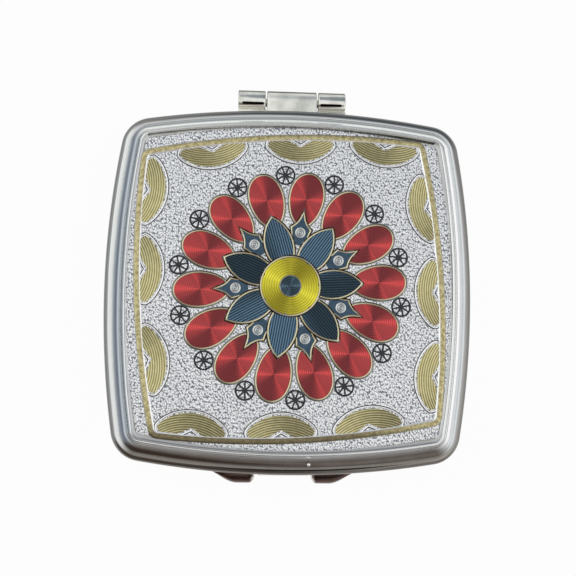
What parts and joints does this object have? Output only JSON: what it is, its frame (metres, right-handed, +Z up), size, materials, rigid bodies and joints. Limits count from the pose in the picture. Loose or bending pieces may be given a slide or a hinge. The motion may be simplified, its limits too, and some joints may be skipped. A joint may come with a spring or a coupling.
{
  "type": "compact mirror",
  "caption": "Closed pocket mirror: a square chromed case with bowed sides, a moulded lid round an embossed lacquered plaque, a barrel hinge behind and a push catch in front.",
  "frame": {"origin": "middle of the flat underside of the base, half way across the case without its hinge and lugs", "axes": "+Y towards the hinge, +Z up through the lid's plaque, +X to the right seen from the catch"},
  "size_m": [0.065, 0.0708, 0.0116],
  "materials": {
    "chrome_case": "bright nickel-chrome plating on a die casting",
    "liner": "satin black moulded liner",
    "mirror": "silvered float glass",
    "foam": "white double-sided foam",
    "bumper": "clear soft bumper",
    "steel": "drawn steel",
    "film": "clear adhesive film",
    "plaque": "bright embossed foil with pale gold outlines",
    "gold": "pale gold lacquer on foil, grooved",
    "black": "black lacquer",
    "red": "clear red lacquer on grooved foil",
    "dark_blue": "dark blue lacquer on hatched foil",
    "blue": "steel blue lacquer on foil",
    "yellow": "yellow lacquer on grooved foil"
  },
  "bodies": {
    "base": {"base_shell": "chrome_case", "base_liner": "liner", "base_mirror": "mirror", "base_mirror_pad": "foam", "rest_bumpers": "bumper", "hinge_pin": "steel", "button_spring": "steel"},
    "button": {"push_button": "chrome_case"},
    "lid": {"lid_shell": "chrome_case", "lid_liner": "liner", "lid_mirror": "mirror", "lid_mirror_pad": "foam", "strike_tongue": "steel", "strike_rivets": "steel", "plaque_film": "film", "plaque": "plaque", "gold_border": "gold", "gold_crescents": "gold", "wheels": "black", "red_petals": "red", "blue_petals": "dark_blue", "blue_points": "blue", "pearl_rings": "plaque", "yellow_disc": "yellow", "blue_boss": "dark_blue"}
  },
  "joints": [
    {"name": "lid_hinge", "type": "hinge", "parent": "base", "child": "lid", "pos_m": [0, 0.0345, 0.00566], "axis": [-1, 0, 0], "range_deg": [0, 175]},
    {"name": "button_slide", "type": "slide", "parent": "base", "child": "button", "axis": [0, 1, 0], "range_m": [0, 0.0008], "stiffness_N_per_m": 400, "springref_m": -0.002, "deforming": ["button_spring"]}
  ]
}
